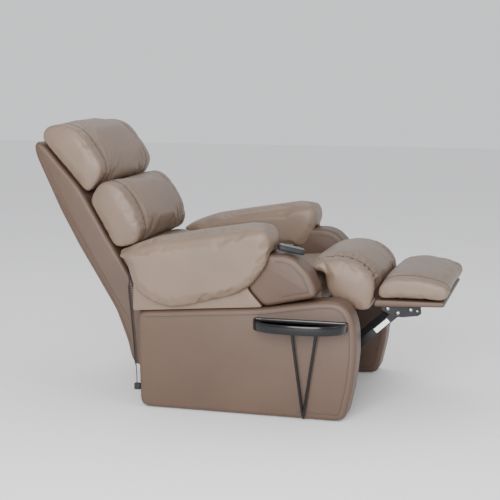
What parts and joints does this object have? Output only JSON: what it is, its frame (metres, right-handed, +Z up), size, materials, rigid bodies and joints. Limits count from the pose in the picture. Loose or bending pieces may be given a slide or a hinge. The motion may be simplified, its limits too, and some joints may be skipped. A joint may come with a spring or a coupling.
{
  "type": "powered lift recliner armchair",
  "caption": "Upholstered lift recliner with powered back, footrest and lift base, pillow arms, wired handset and a side tray.",
  "frame": {"origin": "on the floor at mid-width, in the middle of the underside of the floor frame's middle cross tube", "axes": "+X towards the front and the footrest, +Y towards the occupant's left, +Z up"},
  "size_m": [1.5339, 0.954, 1.009],
  "materials": {
    "dark_leather": "satin, fine grain",
    "light_leather": "satin, soft grain",
    "black_steel": "satin black powder coat",
    "grey_steel": "brushed",
    "gloss_black": "gloss",
    "matte_black": "matte",
    "board": "bare plywood",
    "key_grey": "matte"
  },
  "bodies": {
    "floor_frame": {"floor_rail_right": "black_steel", "floor_rail_left": "black_steel", "floor_cross_middle": "black_steel", "floor_cross_rear": "black_steel", "power_supply": "matte_black"},
    "lift_arms": {"lift_arm_right": "black_steel", "lift_arm_left": "black_steel", "lift_cross_tube": "black_steel"},
    "lift_motor": {"lift_motor": "matte_black"},
    "lift_rod": {"lift_rod": "grey_steel"},
    "base": {"side_panel_right": "dark_leather", "side_panel_left": "dark_leather", "chassis_plate_right": "black_steel", "chassis_plate_left": "black_steel", "arm_front_right": "dark_leather", "arm_front_left": "dark_leather", "arm_rear_right": "light_leather", "arm_rear_left": "light_leather", "arm_pad_right": "light_leather", "arm_pad_left": "light_leather", "front_cross_tube": "black_steel", "motor_cross_tube": "black_steel", "back_pivot_tube": "black_steel", "seat_deck": "board", "seat_cushion": "light_leather", "control_box": "matte_black", "tray_bracket": "black_steel", "cord_coil": "matte_black", "cord_upper_tail": "matte_black", "cord_lower_tail": "matte_black", "cord_socket": "matte_black"},
    "back": {"back_shell": "dark_leather", "back_hinge_right": "black_steel", "back_hinge_left": "black_steel", "head_cushion": "light_leather", "shoulder_cushion": "light_leather", "lumbar_cushion": "light_leather"},
    "recline_motor": {"recline_motor": "matte_black"},
    "recline_rod": {"recline_rod": "grey_steel"},
    "leg_motor": {"leg_motor": "matte_black"},
    "leg_rod": {"leg_rod": "grey_steel"},
    "swing_links": {"swing_link_right": "black_steel", "swing_link_left": "black_steel", "swing_tube": "black_steel"},
    "extension_links": {"extension_link_right": "black_steel", "extension_link_left": "black_steel"},
    "footrest": {"footrest_bracket_right": "black_steel", "footrest_bracket_left": "black_steel", "footrest_board": "dark_leather", "footrest_pad": "light_leather"},
    "leg_pillow": {"leg_pillow": "light_leather"},
    "tray": {"tray_top": "gloss_black", "tray_rods": "gloss_black"},
    "handset": {"handset_case": "matte_black"},
    "key_1": {"handset_key_1": "key_grey"},
    "key_2": {"handset_key_2": "key_grey"},
    "key_3": {"handset_key_3": "key_grey"},
    "key_4": {"handset_key_4": "key_grey"},
    "key_5": {"handset_key_5": "key_grey"},
    "key_6": {"handset_key_6": "key_grey"}
  },
  "joints": [
    {"name": "lift", "type": "hinge", "parent": "floor_frame", "child": "lift_arms", "pos_m": [0.28, 0, 0.06], "axis": [0, 1, 0], "range_deg": [0, 50]},
    {"name": "base_tilt", "type": "hinge", "parent": "lift_arms", "child": "base", "pos_m": [-0.06, 0, 0.06], "axis": [0, 1, 0], "range_deg": [-25, 0]},
    {"name": "lift_motor_swing", "type": "hinge", "parent": "floor_frame", "child": "lift_motor", "pos_m": [-0.26, -0.07, 0.08], "axis": [0, -1, 0], "range_deg": [0, 6.77]},
    {"name": "lift_rod_slide", "type": "slide", "parent": "lift_motor", "child": "lift_rod", "axis": [0.9555, 0, 0.295], "range_m": [0, 0.203]},
    {"name": "back_recline", "type": "hinge", "parent": "base", "child": "back", "pos_m": [-0.34, 0, 0.34], "axis": [0, -1, 0], "range_deg": [-22, 12]},
    {"name": "recline_motor_swing", "type": "hinge", "parent": "base", "child": "recline_motor", "pos_m": [-0.08, 0.13, 0.15], "axis": [0, -1, 0], "range_deg": [-0.88, 0.48]},
    {"name": "recline_rod_slide", "type": "slide", "parent": "recline_motor", "child": "recline_rod", "axis": [-0.9951, 0, 0.0988], "range_m": [-0.0337, 0.0617]},
    {"name": "legrest", "type": "hinge", "parent": "base", "child": "swing_links", "pos_m": [0.29, 0, 0.14], "axis": [0, -1, 0], "range_deg": [0, 97]},
    {"name": "extension_turn", "type": "hinge", "parent": "swing_links", "child": "extension_links", "pos_m": [0.415, 0, 0.252], "axis": [0, -1, 0], "range_deg": [-160, 0]},
    {"name": "footrest_turn", "type": "hinge", "parent": "extension_links", "child": "footrest", "pos_m": [0.54, 0, 0.365], "axis": [0, -1, 0], "range_deg": [-25.1, 0]},
    {"name": "leg_motor_swing", "type": "hinge", "parent": "base", "child": "leg_motor", "pos_m": [-0.04, 0.07, 0.18], "axis": [0, -1, 0], "range_deg": [0, 3.04]},
    {"name": "leg_rod_slide", "type": "slide", "parent": "leg_motor", "child": "leg_rod", "axis": [0.9997, 0, -0.0262], "range_m": [-0.0883, 0]},
    {"name": "leg_pillow_turn", "type": "hinge", "parent": "base", "child": "leg_pillow", "pos_m": [0.262, 0, 0.47], "axis": [0, 1, 0], "range_deg": [0, 55], "deforming": ["leg_pillow"]},
    {"name": "tray_lift", "type": "slide", "parent": "base", "child": "tray", "axis": [0, 0, 1], "range_m": [0, 0.06]},
    {"name": "handset_lift", "type": "slide", "parent": "base", "child": "handset", "axis": [0, 0, 1], "range_m": [0, 0.12]},
    {"name": "key_1_press", "type": "slide", "parent": "handset", "child": "key_1", "axis": [-0.2377, 0, -0.9713], "range_m": [0, 0.001], "stiffness_N_per_m": 400},
    {"name": "key_2_press", "type": "slide", "parent": "handset", "child": "key_2", "axis": [-0.2377, 0, -0.9713], "range_m": [0, 0.001], "stiffness_N_per_m": 400},
    {"name": "key_3_press", "type": "slide", "parent": "handset", "child": "key_3", "axis": [-0.2377, 0, -0.9713], "range_m": [0, 0.001], "stiffness_N_per_m": 400},
    {"name": "key_4_press", "type": "slide", "parent": "handset", "child": "key_4", "axis": [-0.2377, 0, -0.9713], "range_m": [0, 0.001], "stiffness_N_per_m": 400},
    {"name": "key_5_press", "type": "slide", "parent": "handset", "child": "key_5", "axis": [-0.2377, 0, -0.9713], "range_m": [0, 0.001], "stiffness_N_per_m": 400},
    {"name": "key_6_press", "type": "slide", "parent": "handset", "child": "key_6", "axis": [-0.2377, 0, -0.9713], "range_m": [0, 0.001], "stiffness_N_per_m": 400}
  ],
  "couplings": [
    {"joint": "base_tilt", "follows": "lift", "ratio": -0.5},
    {"joint": "lift_motor_swing", "follows": "lift", "ratio": 0.1352},
    {"joint": "lift_rod_slide", "follows": "lift", "m_per_rad": 0.2325},
    {"joint": "recline_motor_swing", "follows": "back_recline", "ratio": 0.04},
    {"joint": "recline_rod_slide", "follows": "back_recline", "m_per_rad": -0.1604},
    {"joint": "extension_turn", "follows": "legrest", "ratio": -1.648},
    {"joint": "footrest_turn", "follows": "legrest", "ratio": -0.2585},
    {"joint": "leg_motor_swing", "follows": "legrest", "ratio": 0.0313},
    {"joint": "leg_rod_slide", "follows": "legrest", "m_per_rad": -0.0521},
    {"joint": "leg_pillow_turn", "follows": "legrest", "ratio": 0.566}
  ]
}
